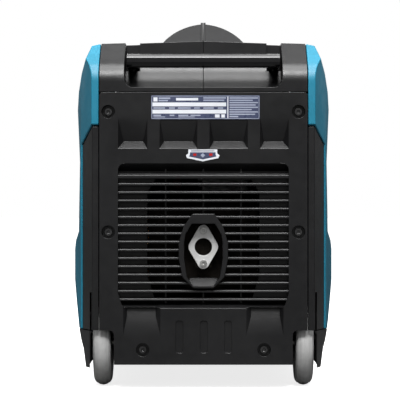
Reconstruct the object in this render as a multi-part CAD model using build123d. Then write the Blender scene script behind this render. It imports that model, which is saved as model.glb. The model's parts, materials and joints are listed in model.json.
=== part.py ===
from build123d import *
import math
import os

# Inverter generator on two wheels. X to the right when facing the exhaust end, Y from the exhaust
# end (rear) to the control end (front), Z up. The origin is on the floor under the middle.
# Heights in this script are measured from the body's datum plane, LIFT above the floor.

LIFT = 9.0

FACE = 330.0  # rear and front covers' outer faces, from the middle
SHELL_END = 328.0  # end of the side panels and of the top casing
RIM = 333.0  # furthest point at each end: exhaust surround, control panel frame
WALL = 4.0  # moulded wall thickness
SEAM = 0.6  # half of the gap between neighbouring mouldings
MID_HALF = 180.0  # half the width of the black middle of the body
BULGE = 227.0  # half the width over the side panels
TOP = 592.0  # height of the top of the side panels
TOP_CROWN = 598.0  # height of the middle of the top casing
COVER_TOP = 503.0  # height of the seam under the top casing
SKIRT_TOP = 91.0  # height of the seam over the base tray
FLOOR_LOW = 33.0  # underside of the base tray's floor
FLOOR_HIGH = 37.0
SHOULDER_Z = 542.7  # where the sloping shoulder's line meets the end faces
SHOULDER_SLOPE = math.radians(35)
SHOULDER_R = 41.0
CREST_R = 25.0  # radius between the shoulder and the flat top
PANEL_STEP = 274.0  # end of the side panel's lower part
COVER_LOW = 33.0  # lower edge of the rear and front covers
CLEAR = 0.4  # clearance between bodies that don't run on each other
RUN = 0.05  # radial clearance of a running fit
HINGE_X = 222.7  # axis of the service door's hinges

WHEEL_X = 176.0
WHEEL_Y = -246.0
WHEEL_R = 75.0
WHEEL_Z = WHEEL_R - LIFT
WHEEL_WIDE = 32.0
HUB_R = 52.0
AXLE_R = 6.0

LEG_X = 124.0
LEG_Y = -220.0
LEG_R = 9.0
LEG_LOW = 90.0
GRIP_Y = -284.0
GRIP_HALF = 133.0
GRIP_LOW = 547.5
GRIP_HIGH = 571.0
RECESS_HALF = 137.0
RECESS_LOW = 510.5
RECESS_BACK = -240.0
SCOOP_R = 60.0

HANDLE_HALF = 76.0  # half width of the carry handle's dome
HANDLE_HIGH = 43.0  # height of the dome over the top casing
HANDLE_LONG = 175.0
GRIP_GAP_LONG = 72.0
GRIP_GAP_LOW = 578.0
GRIP_GAP_HIGH = 620.0

OUTLET_Z = 235.6  # exhaust outlet's height
OUTLET_R = 15.0
TUBE_R = 14.2  # inside of the muffler's outlet tube
FLANGE_Y = -306.0  # outer face of the exhaust flange
FLANGE_THICK = 6.0
FLANGE_SCREW = 28.4

GRILLE_HALF = 147.0
GRILLE_LOW = 144.0
GRILLE_HIGH = 380.0
LOUVRES = 16
LOUVRE_PITCH = 14.2
LOUVRE_LOW = 147.0
PLATE_HALF = 82.0  # half the width of the raised panel under the grille
PLATE_BEVEL = 8.0

CRANK_Y = -20.0
CRANK_Z = 180.0
CRANK_R = 12.0

PANEL_Y = 318.0  # outer face of the control panel
CAP_Y = 204.0
CAP_Z = 599.5

# X and Z of the screws and of each control
REAR_SCREWS = [(-164, 469), (164, 469), (-164, 261.5), (164, 261.5), (-104.6, 58.5), (104.6, 58.5)]
FRONT_SCREWS = [(-164, 225), (164, 225), (-160, 58.5), (160, 58.5)]
SWITCH = (-110, 352)
START = (-52, 352)
ECO = (-52, 425)
CHOKE = (-110, 278)
EARTH = (-52, 268)
BREAKERS = [(-8, 425), (24, 425)]
OUTLETS = [(14, 315), (88, 315)]
MAIN_OUTLET = (96, 420)
DC_OUTLET = (-16, 370)


def block(x, y, z):
    """Box from three (low, high) pairs."""
    size = [pair[1] - pair[0] for pair in (x, y, z)]
    middle = [(pair[0] + pair[1]) / 2 for pair in (x, y, z)]
    return Pos(*middle) * Box(*size)


def bar(axis, radius, low, high, centre):
    """Cylinder along an axis; centre gives the other two coordinates in X, Y, Z order."""
    turn = {"x": Rot(0, 90, 0), "y": Rot(90, 0, 0), "z": Rot(0, 0, 0)}[axis]
    middle = (low + high) / 2
    a, b = centre
    place = {"x": (middle, a, b), "y": (a, middle, b), "z": (a, b, middle)}[axis]
    return Pos(*place) * turn * Cylinder(radius, high - low)


def ring(axis, outer, inner, low, high, centre):
    """Tube along an axis."""
    return bar(axis, outer, low, high, centre) - bar(axis, inner, low - 1, high + 1, centre)


def prism(axis, points, low, high, radius=0.0):
    """Extrusion along an axis of an outline in the other two coordinates, X, Y, Z order."""
    face = Polygon(*points, align=None)
    if radius:
        face = fillet(face.vertices(), radius)
    return extrude_along(axis, face, low, high)


def extrude_along(axis, face, low, high):
    """Extrusion of a flat face, drawn in the other two coordinates, from low to high."""
    plane = {"x": Plane.YZ.offset(low), "y": Plane.XZ.offset(-low), "z": Plane.XY.offset(low)}
    way = {"x": (1, 0, 0), "y": (0, 1, 0), "z": (0, 0, 1)}
    return extrude(plane[axis] * face, amount=high - low, dir=way[axis])


def rounded(axis, centre, size, low, high, radius):
    """Rounded rectangle, centre and size in the two other coordinates, extruded."""
    face = Pos(*centre) * RectangleRounded(*size, radius)
    return extrude_along(axis, face, low, high)


def mirrored(solid):
    """The same solid on the left side."""
    return mirror(solid, about=Plane.YZ)


def save(name, *solids):
    """Write one node, as one solid or as a group of separate ones."""
    lifted = Location((0, 0, LIFT))
    pieces = [piece.moved(lifted) for solid in solids for piece in solid.solids()]
    shape = pieces[0] if len(pieces) == 1 else Compound(children=pieces)
    export_step(shape, f"parts/{name}.step")


# ---------------------------------------------------------------- body shape


def side_outline(inset):
    """Right half of the body seen from the rear, from the top middle down."""
    top = [(0, TOP_CROWN), (MID_HALF, TOP), (196, 588)]
    flank = [(212.5, 540), (219, 506), (221, 475), (219.5, 440), (216.5, 383), (218, 318), (219, 262)]
    ledge = [(225, 246), (BULGE, 230), (BULGE, 177), (223, 134), (218, SKIRT_TOP)]
    skirt = [(214, 73), (209, 58), (204, 27)]
    lowered = [(x, z - inset) for x, z in top[:2]]
    shoulder = [(top[2][0] - inset, top[2][1] - inset)]
    return lowered + shoulder + [(x - inset, z) for x, z in flank + ledge + skirt]


def end_profile(inset):
    """Side view of the body: upright ends, sloping shoulders and a flat top."""
    end = SHELL_END - inset
    top = TOP_CROWN + 1 - inset
    run = (top - SHOULDER_Z + inset / math.cos(SHOULDER_SLOPE)) / math.tan(SHOULDER_SLOPE)
    crest = SHELL_END - run
    low = SHOULDER_Z - inset / math.cos(SHOULDER_SLOPE) + inset * math.tan(SHOULDER_SLOPE)
    half = [(crest, top), (end, low), (end, 10)]
    face = Polygon(*half, *[(-y, z) for y, z in reversed(half)], align=None)
    corners = face.vertices().group_by(Axis.Y)
    face = fillet(corners[-1], CREST_R - inset)
    face = fillet(face.vertices().filter_by_position(Axis.Y, low - 1, low + 1), SHOULDER_R - inset)
    return extrude_along("x", face, -240, 240)


def body_form(inset):
    """Closed outer shape of the body, or the same shape inset by a wall."""
    half = side_outline(inset)
    outline = half + [(-x, z) for x, z in reversed(half[1:])]
    end = SHELL_END - inset
    seen = prism("y", outline, -end, end)
    a, b, c = 193 - inset * 0.6, BULGE - inset, 240 + inset * 0.4
    plan = [(-a, -end), (a, -end), (b, -c), (b, c), (a, end), (-a, end), (-b, c), (-b, -c)]
    return seen & prism("z", plan, 20, 620) & end_profile(inset)


def side_region(points, low=MID_HALF + SEAM):
    """Part of the right side inside an outline in Y and Z."""
    return prism("x", points, low, 240)


def top_form(inset):
    """Shape of the black top casing, between the side panels."""
    return body_form(inset) & block((SEAM - MID_HALF, MID_HALF - SEAM), (-340, 340), (400, 620))


# ---------------------------------------------------------------- top casing


def recess_shape(grow):
    """Recess for the trolley grip: concave finger scoop below, open to the rear and the top."""
    radius = SCOOP_R + grow
    low = RECESS_LOW + 0.5 - grow
    start = RECESS_BACK - SCOOP_R
    middle = low + radius
    corner = (start + radius * math.sin(math.radians(45)), middle - radius * math.cos(math.radians(45)))
    end = (start + radius, middle)
    line = Line((-350, low), (start, low))
    curve = ThreePointArc((start, low), corner, end)
    rest = Polyline(end, (end[0], 640), (-350, 640), (-350, low))
    profile = make_face(line + curve + rest)
    half = RECESS_HALF + grow
    width = extrude_along("x", profile, -half, half)
    seen = rounded("y", (0, 320 + low / 2), (2 * half, 640 - low + 0.001), -360, 0, 17)
    return width & seen


def recess_notches(grow):
    """Notches at the recess's two ends, where the grip's arms reach back to the trolley legs."""
    notch = block((112 - grow, RECESS_HALF + grow), (-300, LEG_Y + 13 + grow), (544.5 - grow, 640))
    return notch + mirrored(notch)


def carry_handle():
    """Domed handle along the top, with a through gap and a slim grip in its middle."""
    shares = [(1, 0), (0.87, 0.29), (0.66, 0.6), (0.32, 0.89), (0, 1)]
    rise = [(x * HANDLE_HALF, z * HANDLE_HIGH) for x, z in shares]
    right = Spline(*reversed(rise))
    left = Spline(*[(-x, z) for x, z in rise])
    base = Polyline((HANDLE_HALF, 0), (HANDLE_HALF, -20), (-HANDLE_HALF, -20), (-HANDLE_HALF, 0))
    dome = Pos(0, TOP_CROWN) * make_face(left + right + base)
    body = extrude_along("y", dome, -HANDLE_LONG, HANDLE_LONG)
    side = [(-HANDLE_LONG, 590), (HANDLE_LONG, 590), (100, 644), (-100, 644)]
    body = body & prism("x", side, -90, 90)
    spine = [(-HANDLE_LONG - 2, 590), (HANDLE_LONG + 2, 590), (102, 644), (-102, 644)]
    ridge = prism("x", spine, -4.5, 4.5)
    body = body + (ridge & block((-5, 5), (-200, 200), (TOP_CROWN - 3, 645)))
    for side_x in (75, -75):
        body = body - rounded("z", (side_x, 0), (98, 2 * GRIP_GAP_LONG), 560, 660, 20)
    gap_z = (GRIP_GAP_LOW + GRIP_GAP_HIGH) / 2
    gap = rounded("x", (0, gap_z), (2 * GRIP_GAP_LONG, GRIP_GAP_HIGH - GRIP_GAP_LOW), -95, 95, 16)
    return body - gap


def top_casing():
    """Both halves of the top casing in one solid."""
    shell = top_form(0) - top_form(WALL)
    shell = shell - block((-200, 200), (-340, 340), (380, COVER_TOP + SEAM))
    well = rounded("z", (0, 0), (188, 2 * GRIP_GAP_LONG + 8), GRIP_GAP_LOW - WALL, TOP_CROWN - 2, 22)
    shell = shell + well + carry_handle()
    bowl = rounded("z", (0, 0), (180, 2 * GRIP_GAP_LONG), GRIP_GAP_LOW, 660, 18)
    grip = block((-26, 26), (-GRIP_GAP_LONG, GRIP_GAP_LONG), (GRIP_GAP_HIGH, 660))
    shell = shell - (bowl - grip)
    wall = (recess_shape(WALL) + recess_notches(WALL)) & top_form(0)
    wall = wall & block((-200, 200), (-340, 0), (COVER_TOP + SEAM, 640))
    shell = shell + wall - recess_shape(0) - recess_notches(0)
    for x in (-LEG_X, LEG_X):
        shell = shell - bar("z", LEG_R + CLEAR, 490, 600, (x, LEG_Y))
    return shell - bar("z", 31, 570, 620, (0, CAP_Y))


def save_casing():
    casing = top_casing()
    save("casing_right", casing & block((0.3, 240), (-340, 340), (380, 660)))
    save("casing_left", casing & block((-240, -0.3), (-340, 340), (380, 660)))


# ---------------------------------------------------------------- sides


def slots(count, y, z_low, pitch, height):
    """Row of level slots through the right side."""
    cuts = [block((150, 240), y, (z_low + i * pitch, z_low + i * pitch + height)) for i in range(count)]
    return cuts


def panel_right():
    """Coloured side panel: full length at the top, between the corner inserts below."""
    shell = body_form(0) - body_form(WALL)
    low, step = SKIRT_TOP + SEAM, PANEL_STEP
    points = [(-340, 455), (-step, 414), (-step, low), (step, low), (step, 414), (340, 455)]
    points = points + [(340, 620), (-340, 620)]
    panel = shell & side_region(points)
    for cut in slots(7, (-235, -115), 130, 15, 8):
        panel = panel - cut
    return panel


def corner_insert_right(front):
    """Black insert that closes the body's corner below the panel's stepped edge."""
    shell = body_form(2) - body_form(2 + WALL)
    way = 1 if front else -1
    step = PANEL_STEP + 2 * SEAM
    low = SKIRT_TOP + SEAM
    points = [(340 * way, 452.5), (step * way, 412), (step * way, low), (340 * way, low)]
    insert = shell & side_region(points)
    if front:
        return insert
    return insert - wheel_arch()


def wheel_arch():
    """Open arch in the right rear corner, and the space that the wheel turns in."""
    opening = rounded("y", (174.5, 30), (41, 124), -340, -300, 8)
    inside = block((152, 196.5), (-322, -167), (0, 157))
    return opening + inside


def save_sides():
    panel = panel_right()
    door_gap = rounded("x", (20, 352), (204, 159), 200, 240, 10)
    save("side_panel_right", panel - door_gap)
    bezel_hole = rounded("x", (60, 302), (140, 80), -240, -190, 14)
    save("side_panel_left", mirrored(panel) - bezel_hole)
    for place, front in (("front", True), ("rear", False)):
        insert = corner_insert_right(front)
        save(f"corner_inserts_{place}", insert, mirrored(insert))


def service_door():
    """Door in the right panel with two hinge knuckles, and the latch's hole."""
    shell = body_form(0) - body_form(WALL)
    door = shell & rounded("x", (20, 352), (201, 156), 200, 240, 8.5)
    for z in (300, 404):
        root = block((213, HINGE_X + 0.5), (108, 119), (z - 8, z + 8))
        strap = root + block((HINGE_X - 2.9, HINGE_X + 0.5), (118, 124.5), (z - 8, z + 8))
        knuckle = bar("z", 3.5, z - 8, z + 8, (HINGE_X, 124.5))
        door = door + strap + knuckle
        door = door - bar("z", 1.5 + RUN, z - 9, z + 9, (HINGE_X, 124.5))
    return door - bar("x", 6 + CLEAR, 200, 240, (-65, 352))


def hinge_pins():
    """Fixed lugs and pins of the service door's hinges, on the right panel."""
    pieces = []
    for z in (300, 404):
        pin = bar("z", 1.5, z - 14, z + 14, (HINGE_X, 124.5))
        for low in (z - 14, z + 8.5):
            pin = pin + block((212, HINGE_X + 2), (122.6, 130), (low, low + 5.5))
        pieces.append(pin - body_form(0))
    return pieces


def door_latch():
    """Quarter-turn knob of the service door."""
    knob = bar("x", 12, 219, 224.5, (-65, 352)) - block((222.5, 226), (-67.5, -62.5), (330, 374))
    return knob + bar("x", 6, 209, 219, (-65, 352)) + bar("x", 9, 205, 209, (-65, 352))


def recoil_bezel():
    """Dish in the left panel that the recoil handle rests in."""
    dish = rounded("x", (60, 302), (139, 79), -219.5, -192, 13.5)
    dish = dish - rounded("x", (60, 302), (132, 72), -221, -196, 10)
    return dish - bar("x", 3.5, -200, -190, (60, 302))


def recoil_handle():
    """T-shaped pull handle with the start of its rope."""
    grip = rounded("x", (60, 302), (86, 22), -216, -200, 9)
    return grip + bar("x", 3, -200, -180, (60, 302))


# ---------------------------------------------------------------- rear cover


def rear_pocket(grow):
    """Wedge-shaped pocket under the rating label, with a ledge along its lower edge."""
    points = [(-334, 468 + grow), (-316 + grow, 418), (-330 + grow, 405.5 - grow), (-334, 405.5 - grow)]
    w = GRILLE_HALF + grow
    right = [(w - 10, -300), (w - 10, -315), (w, -FACE), (w, -335)]
    ends = [(-x, y) for x, y in reversed(right)] + right
    return prism("x", points, -w, w) & prism("z", ends, 380, 490)


def pocket_rib(x):
    """Rib across the pocket, wider at its foot."""
    return prism("z", [(x - 9.5, -332), (x + 9.5, -332), (x + 19, -314), (x - 19, -314)], 404, 470)


def grille_recess(grow, depth):
    """Recess around the louvres, narrower at its lower corners."""
    w, low, high = GRILLE_HALF + grow, GRILLE_LOW - 14 - grow, GRILLE_HIGH + grow
    points = [(-w, high), (w, high), (w, 156), (w - 8, low), (-w + 8, low), (-w, 156)]
    seen = prism("y", points, -340, -FACE + depth, 12)
    over = [(-345, high), (-FACE, high), (-311, high - 13), (-300, high - 13)]
    under = [(-300, low + 12), (-311, low + 12), (-FACE, low), (-345, low)]
    return seen & prism("x", over + under, -w, w)


def lower_recess(grow=0.0):
    """Shallow wedge beside the raised lower panel, fading out downwards."""
    points = [(-334, 132), (-318 + grow, 132), (-330 + grow, 84 - grow), (-334, 84 - grow)]
    near, far = PLATE_HALF - PLATE_BEVEL - grow, 138 + grow
    foot = -FACE + PLATE_BEVEL
    ends = [(near, -334), (near, -FACE), (near + PLATE_BEVEL, foot), (near + PLATE_BEVEL, -300)]
    ends = ends + [(far - 6, -300), (far - 6, foot), (far, -FACE), (far, -334)]
    return prism("x", points, near, far) & prism("z", ends, 70, 140)


def louvres():
    """Sloping slats across the grille, and the three upright bars behind them."""
    top = LOUVRE_LOW + (LOUVRES - 1) * LOUVRE_PITCH
    points = [(-328, top - 6), (-328, top - 1), (-323.5, top + 3.5), (-310, top + 5), (-310, top - 6)]
    slats = prism("x", points, -GRILLE_HALF - 2, GRILLE_HALF + 2)
    for i in range(LOUVRES - 1):
        z = LOUVRE_LOW + i * LOUVRE_PITCH
        points = [(-328, z - 4), (-328, z - 1), (-326.4, z + 0.6), (-312, z + 2), (-312, z - 1)]
        slats = slats + prism("x", points, -GRILLE_HALF - 2, GRILLE_HALF + 2)
    for x in (-65.2, 0, 65.2):
        slats = slats + block((x - 1.5, x + 1.5), (-316, -306), (GRILLE_LOW - 10, GRILLE_HIGH))
    return slats


def surround_outline(inset):
    """Barrel-shaped outline of the exhaust surround, in X and Z."""
    top, mid = 293 - inset, 42.5 - inset
    points = [(18.7, top), (34 - inset, top - 22), (mid, 243), (mid, 216)]
    points = points + [(36 - inset, 184), (17, 164.8 + inset)]
    return points + [(-x, z) for x, z in reversed(points)]


def surround_opening():
    """Outline of the opening through the exhaust surround, in X and Z."""
    points = [(20, 276), (31, 258), (33.5, 243), (33.5, 216), (28.5, 184), (18, 169.5)]
    return points + [(-x, z) for x, z in reversed(points)]


def rear_cover():
    """Moulded rear cover."""
    half = MID_HALF - SEAM
    low, high = COVER_LOW, COVER_TOP - SEAM
    cover = rounded("y", (0, (low + high) / 2), (2 * half, high - low), -FACE, -304, 6)
    inside = block((-half + WALL, half - WALL), (-FACE + WALL, -300), (low + WALL, high - WALL))
    walls = grille_recess(3, 26) + rear_pocket(3) + lower_recess(3) + mirrored(lower_recess(3))
    cover = cover - (inside - walls)
    ribs = [pocket_rib(x) for x in (-86, 0, 87)]
    pocket = rear_pocket(0)
    for rib in ribs:
        pocket = pocket - rib
    cover = cover - pocket - (grille_recess(0, 20) - lower_panel())
    outline = [(85, 148), (97, 186), (97, 330), (80, 357)]
    outline = outline + [(-x, z) for x, z in reversed(outline)]
    cover = cover - prism("y", outline, -320, -300) + louvres()
    cover = cover - prism("y", surround_outline(-0.2), -340, -300)
    for x, z in REAR_SCREWS:
        boss = bar("y", 15, -FACE, -304, (x, z))
        cover = cover + boss - bar("y", 11.5, -340, -318, (x, z)) - bar("y", 3.2, -320, -300, (x, z))
    cover = cover - lower_recess() - mirrored(lower_recess())
    for x in (-41.3, 0.8, 42.6):
        cover = cover - rounded("y", (x, 81), (13, 56), -340, -FACE + 2, 5)
    arch = wheel_arch()
    return cover - arch - mirrored(arch)


def lower_panel():
    """Raised panel under the grille, with rounded corners and a chamfered edge."""
    panel = rounded("y", (0, 86), (2 * PLATE_HALF, 100), -FACE, -300, 9.5)
    front = panel.edges().filter_by(lambda edge: abs(edge.center().Y + FACE) < 0.01)
    return chamfer(front, PLATE_BEVEL)


def socket_screw(x, z, head_y):
    """Cap screw with a hexagon socket, its shank along Y."""
    head = bar("y", 6.5, head_y, head_y + 6, (x, z))
    key = extrude_along("y", Pos(x, z) * RegularPolygon(3, 6), head_y - 1, head_y + 3)
    return head - key + bar("y", 3.0, head_y + 6, head_y + 20, (x, z))


def rating_label():
    """Thin plate over the upper part of the rear cover; the marking is generic."""
    return rounded("y", (3.5, 476.5), (187, 41), -FACE - 0.6, -FACE, 1.5)


def caution_label():
    """Shield-shaped sticker with no marking."""
    points = [(24, 404), (24, 397), (28, 394), (26, 389), (-1, 383.5)]
    points = points + [(-28, 389), (-30, 394), (-26, 397), (-26, 404)]
    return prism("y", points, -FACE - 0.4, -FACE)


# ---------------------------------------------------------------- exhaust


def exhaust_surround():
    """Bezel through the grille around the outlet, with a sloping sill at its foot."""
    outer = prism("y", surround_outline(0), -RIM, -292)
    inner = prism("y", surround_opening(), -RIM - 1, -290)
    sill = prism("x", [(-331.5, 168), (-331.5, 169.5), (-318, 182), (-292, 182), (-292, 168)], -24, 24)
    return outer - inner + (sill & prism("y", surround_outline(2), -RIM, -292))


def exhaust_flange():
    """Diamond-shaped flange of the outlet: an ear round each screw and a rounded corner each side."""
    ears = [Pos(0, z) * Circle(10) for z in (-FLANGE_SCREW, FLANGE_SCREW)]
    corners = [Pos(x, 0) * Circle(13) for x in (-13, 13)]
    rims = [edge for circle in ears + corners for edge in circle.edges()]
    outline = Pos(0, OUTLET_Z) * make_hull(rims)
    body = extrude_along("y", outline, FLANGE_Y, FLANGE_Y + FLANGE_THICK)
    body = body - bar("y", OUTLET_R, -320, -290, (0, OUTLET_Z))
    for z in (OUTLET_Z - FLANGE_SCREW, OUTLET_Z + FLANGE_SCREW):
        body = body - bar("y", 3.2, -320, -290, (0, z))
    return body


def flange_screws():
    """Two screws through the flange's ears."""
    pieces = []
    for z in (OUTLET_Z - FLANGE_SCREW, OUTLET_Z + FLANGE_SCREW):
        head = bar("y", 6.2, FLANGE_Y - 4, FLANGE_Y, (0, z))
        key = extrude_along("y", Pos(0, z) * RegularPolygon(2.8, 6), FLANGE_Y - 5, FLANGE_Y - 1.5)
        pieces.append(head - key + bar("y", 3.2, FLANGE_Y, -287, (0, z)))
    return pieces


def muffler():
    """Muffler can on a bracket, with its outlet tube and the pipe from the engine."""
    back = FLANGE_Y + FLANGE_THICK
    can = rounded("x", (-220, OUTLET_Z), (120, 190), -95, 95, 40)
    can = can - rounded("x", (-220, OUTLET_Z), (116, 186), -93, 93, 38)
    tube = bar("y", 20, back, -270, (0, OUTLET_Z)) + block((-14, 14), (back, -270), (200, 271))
    bracket = block((-60, 60), (-226, -216), (FLOOR_HIGH, 145))
    pipe = bar("y", 14, -165, -120, (30, 300))
    body = can + tube + bracket + pipe - bar("y", TUBE_R, -310, -270, (0, OUTLET_Z))
    for z in (OUTLET_Z - FLANGE_SCREW, OUTLET_Z + FLANGE_SCREW):
        body = body - bar("y", 3.2, -310, -287, (0, z))
    return body


def spark_arrestor():
    """Screen cup inside the outlet tube."""
    return bar("y", TUBE_R, -292, -272, (0, OUTLET_Z)) - bar("y", TUBE_R - 1, -290.8, -271, (0, OUTLET_Z))


# ---------------------------------------------------------------- base, wheels


def base_tray():
    """Tray under the machine, with side skirts and closed wheel wells."""
    shell = body_form(0) - body_form(WALL)
    skirt = shell & block((MID_HALF + SEAM, 240), (-340, 340), (20, SKIRT_TOP - SEAM))
    well = block((148.5, 200), (-303.5, -164), (FLOOR_LOW, 160))
    half = block((0, 211), (-303, 303), (FLOOR_LOW, FLOOR_HIGH)) & body_form(2)
    half = half + skirt + (well & body_form(6.5)) - wheel_arch()
    half = half - bar("x", AXLE_R, 140, 210, (WHEEL_Y, WHEEL_Z))
    return half + mirrored(half)


def tyre(side):
    """Solid rounded tyre."""
    low, high = sorted((side * (WHEEL_X - WHEEL_WIDE / 2), side * (WHEEL_X + WHEEL_WIDE / 2)))
    body = bar("x", WHEEL_R, low, high, (WHEEL_Y, WHEEL_Z))
    body = fillet(body.edges().filter_by(GeomType.CIRCLE), 13.5)
    return body - bar("x", HUB_R, low - 1, high + 1, (WHEEL_Y, WHEEL_Z))


def hub(side):
    """Wheel hub with six lightening holes, running on the axle."""
    low, high = sorted((side * (WHEEL_X - 11), side * (WHEEL_X + 11)))
    body = bar("x", HUB_R, low, high, (WHEEL_Y, WHEEL_Z))
    boss = sorted((side * (WHEEL_X - 15), side * (WHEEL_X + 12)))
    body = body + bar("x", 13, *boss, (WHEEL_Y, WHEEL_Z))
    for i in range(6):
        turn = math.radians(60 * i + 30)
        y, z = WHEEL_Y + 32 * math.cos(turn), WHEEL_Z + 32 * math.sin(turn)
        body = body - bar("x", 8, low - 1, high + 1, (y, z))
    return body - bar("x", AXLE_R + RUN, -220, 220, (WHEEL_Y, WHEEL_Z))


def save_wheels():
    for name, side in (("left", -1), ("right", 1)):
        save(f"tyre_{name}", tyre(side))
        save(f"hub_{name}", hub(side))
    end = WHEEL_X + 18
    cap = bar("x", 11, end - 5, end, (WHEEL_Y, WHEEL_Z))
    save("axle", bar("x", AXLE_R, -end, end, (WHEEL_Y, WHEEL_Z)) + cap + mirrored(cap))


def front_feet():
    """Two rubber feet under the control end."""
    height = FLOOR_LOW + LIFT
    return [Pos(x, 250, FLOOR_LOW - height / 2) * Cone(24, 30, height) for x in (-150, 150)]


# ---------------------------------------------------------------- trolley handle


def trolley_grip():
    """Cross grip of the trolley handle."""
    tall = GRIP_HIGH - GRIP_LOW
    middle = (GRIP_LOW + GRIP_HIGH) / 2
    grip = rounded("x", (GRIP_Y, middle), (34, tall), -GRIP_HALF, GRIP_HALF, 9)
    reach = LEG_Y + 10 - GRIP_Y
    arm = rounded("x", (GRIP_Y + reach / 2, middle), (reach, tall), LEG_X - LEG_R, LEG_X + LEG_R, 6)
    grip = grip + arm + mirrored(arm)
    for x in (-LEG_X, LEG_X):
        grip = grip - bar("z", LEG_R - 1.5, 540, 560, (x, LEG_Y))
    return grip


def trolley_legs():
    """Two legs of the trolley handle."""
    legs = []
    for x in (-LEG_X, LEG_X):
        tube = bar("z", LEG_R, LEG_LOW, GRIP_LOW, (x, LEG_Y))
        legs.append(tube + bar("z", LEG_R - 1.5, GRIP_LOW, 560, (x, LEG_Y)))
    return legs


def trolley_guides():
    """Two sleeves that the legs slide in."""
    return [ring("z", 12, LEG_R + RUN, 455, 540.5, (side * LEG_X, LEG_Y)) for side in (-1, 1)]


# ---------------------------------------------------------------- front cover and controls


def front_cover():
    """Cover of the control end, with a raised frame and air intake louvres."""
    half = MID_HALF - SEAM
    low, high = COVER_LOW, COVER_TOP - SEAM
    cover = rounded("y", (0, (low + high) / 2), (2 * half, high - low), 304, FACE, 6)
    cover = cover - block((-half + WALL, half - WALL), (300, FACE - WALL), (low + WALL, high - WALL))
    frame = rounded("y", (0, 361), (322, 262), FACE - 18, RIM, 14)
    cover = cover + frame - rounded("y", (0, 361), (306, 246), 300, 340, 10)
    intake = block((-135, 135), (300, 340), (70, 205))
    cover = cover - intake
    for i in range(9):
        z = 74 + i * LOUVRE_PITCH
        points = [(327, z), (327, z + 3), (312, z + 9), (312, z + 6)]
        cover = cover + prism("x", points, -137, 137)
    for x in (-66, 0, 66):
        cover = cover + block((x - 1.5, x + 1.5), (308, 316), (68, 207))
    for x, z in FRONT_SCREWS:
        boss = bar("y", 13, 304, FACE, (x, z))
        cover = cover + boss - bar("y", 9.5, 320, 340, (x, z)) - bar("y", 3.2, 300, 322, (x, z))
    return cover


def control_panel():
    """Plate behind the front cover's frame, with the holes of all controls."""
    panel = rounded("y", (0, 361), (305.4, 245.4), PANEL_Y - 6, PANEL_Y, 9.5)
    panel = panel + rounded("y", (0, 361), (318, 258), PANEL_Y - 9, PANEL_Y - 6, 12)
    holes = [(4.4, SWITCH), (10.4, START), (3.4, CHOKE), (3.0, EARTH), (10, DC_OUTLET), (27, MAIN_OUTLET)]
    holes = holes + [(6.4, place) for place in BREAKERS] + [(23.5, place) for place in OUTLETS]
    for radius, place in holes:
        panel = panel - bar("y", radius, 300, 330, place)
    return panel - rounded("y", ECO, (22, 15), 300, 330, 1.5)


def display():
    """Meter with a raised bezel."""
    return rounded("y", (-108, 430), (70, 46), PANEL_Y, 321, 4)


def engine_switch():
    """Rotary knob with a grip bar."""
    knob = bar("y", 19, PANEL_Y + CLEAR, 323, SWITCH)
    grip = rounded("y", SWITCH, (9, 34), 323, 331, 3)
    return knob + grip + bar("y", 4, 306, PANEL_Y + CLEAR, SWITCH)


def eco_switch():
    """Rocker, tilted to its off side."""
    rocker = rounded("y", (0, 0), (20, 12), -6, 5, 1.2)
    return Pos(ECO[0], PANEL_Y - 1, ECO[1]) * Rot(8, 0, 0) * rocker


def choke_knob():
    """Pull knob on its rod."""
    return bar("y", 11, 320, 331, CHOKE) + bar("y", 3, 270, 320, CHOKE)


def earth_terminal():
    """Stud with a nut against the panel."""
    nut = extrude_along("y", Pos(*EARTH) * RegularPolygon(6, 6), PANEL_Y, PANEL_Y + 5)
    return nut + bar("y", 3.0, 306, 332, EARTH)


def outlet(x, z):
    """Round socket insert with a flange and two hinge lugs over it."""
    body = rounded("y", (x, z + 3), (56, 63), PANEL_Y, PANEL_Y + 4, 6)
    body = body + bar("y", 23.5, 296, PANEL_Y, (x, z))
    body = body - bar("y", 19.7, 302, 330, (x, z))
    for side in (-1, 1):
        body = body - bar("y", 2.5, 290, 303, (x + side * 9.5, z))
    return body + lid_hinge(x, z + 30.5)


def lid_hinge(x, z):
    """Fixed lugs and pin of a socket cover."""
    lugs = block((x - 24, x - 19.5), (322, 328.5), (z - 3.5, z + 3.5))
    lugs = lugs + block((x + 19.5, x + 24), (322, 328.5), (z - 3.5, z + 3.5))
    return lugs + bar("x", 1.5, x - 24, x + 24, (325.7, z))


def main_outlet():
    """Larger socket with five contacts' recess, a flange and hinge lugs."""
    x, z = MAIN_OUTLET
    body = rounded("y", (x, z + 3), (62, 69), PANEL_Y, PANEL_Y + 4, 8) + bar("y", 27, 290, PANEL_Y, (x, z))
    body = body - bar("y", 24, 296, 330, (x, z)) + bar("y", 14, 295, 316, (x, z))
    return body + lid_hinge(x, z + 33)


def outlet_cover(x, z, half, drop):
    """Flap over a socket, with its knuckle round the hinge pin; drop is the axis over the socket."""
    plate = rounded("y", (x, z - 0.5), (2 * half, 2 * half - 2), 323.2, 326.6, 7)
    neck = block((x - 18.5, x + 18.5), (323.2, 326.6), (z + half - 9, z + drop))
    knuckle = bar("x", 3.2, x - 18.5, x + 18.5, (325.7, z + drop))
    return plate + neck + knuckle - bar("x", 1.5 + RUN, x - 20, x + 20, (325.7, z + drop))


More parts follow.
